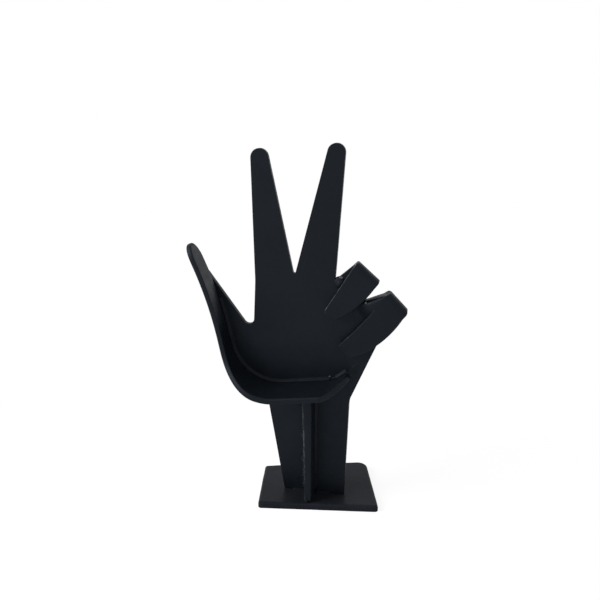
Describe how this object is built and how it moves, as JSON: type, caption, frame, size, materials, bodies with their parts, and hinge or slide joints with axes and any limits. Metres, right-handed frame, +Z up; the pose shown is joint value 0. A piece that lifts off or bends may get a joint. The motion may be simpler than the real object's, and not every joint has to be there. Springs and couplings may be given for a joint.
{
  "type": "iron hand ornament",
  "caption": "Standing ornament: an open left hand of welded black plate iron, fingers in a V, the others folded, with a small tray at the heel of the palm, on a foot plate.",
  "frame": {"origin": "middle of the underside of the foot plate", "axes": "+Z up along the wrist and the open fingers, the palm faces -Y, the thumb is on the -X side"},
  "size_m": [0.1152, 0.0637, 0.1952],
  "materials": {
    "plate_iron": "blackened plate, satin to matt, rubbed to bare grey along some cut edges",
    "foot_iron": "blackened plate, matt, with faint scale and scratches",
    "weld_iron": "rippled weld metal, blackened, with bright crests"
  },
  "bodies": {
    "root": {"base_plate": "foot_iron", "hand_plate": "plate_iron", "thumb_tray": "plate_iron", "wrist_rib": "plate_iron", "ring_finger": "plate_iron", "little_finger": "plate_iron", "ring_finger_weld": "weld_iron", "little_finger_weld": "weld_iron", "little_fold_weld": "weld_iron", "tray_weld": "weld_iron", "rib_weld_left": "weld_iron", "rib_weld_right": "weld_iron", "wrist_weld_left": "weld_iron", "wrist_weld_right": "weld_iron", "wrist_weld_rear": "weld_iron"}
  },
  "joints": []
}
